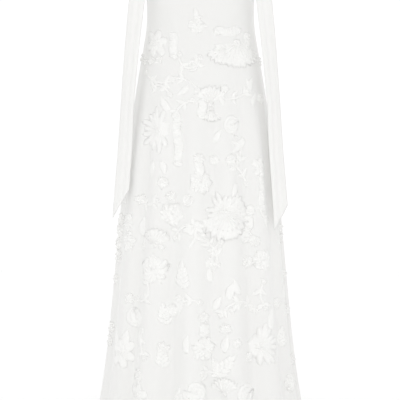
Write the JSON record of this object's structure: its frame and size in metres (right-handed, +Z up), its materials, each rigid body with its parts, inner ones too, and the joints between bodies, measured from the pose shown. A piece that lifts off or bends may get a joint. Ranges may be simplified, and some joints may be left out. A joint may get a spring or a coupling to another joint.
{
  "type": "long sleeveless dress with shoulder sashes",
  "caption": "Hollow long A-line dress, filled out with no wearer, with raised appliqué blossoms and a hanging sash at each shoulder.",
  "frame": {"origin": "midway between the shoulders that carry the dress, at the height of the shoulders' highest point", "axes": "+Z up, the front faces -Y, +X to the right of someone who looks at the front"},
  "size_m": [0.5364, 0.4311, 1.4402],
  "materials": {
    "cloth": "light matt woven cloth with raised blossoms of the same colour",
    "satin": "smooth cloth with a faint sheen",
    "zip": "white enamel"
  },
  "bodies": {
    "dress": {"front": "cloth", "back_left": "cloth", "back_right": "cloth", "sash_left": "satin", "sash_right": "satin", "zip_slider": "zip"},
    "pull": {"zip_pull": "zip"}
  },
  "joints": [
    {"name": "pull_swing", "type": "hinge", "parent": "dress", "child": "pull", "pos_m": [0, 0.09727, -0.08925], "axis": [1, 0, 0], "range_deg": [0, 170]}
  ]
}
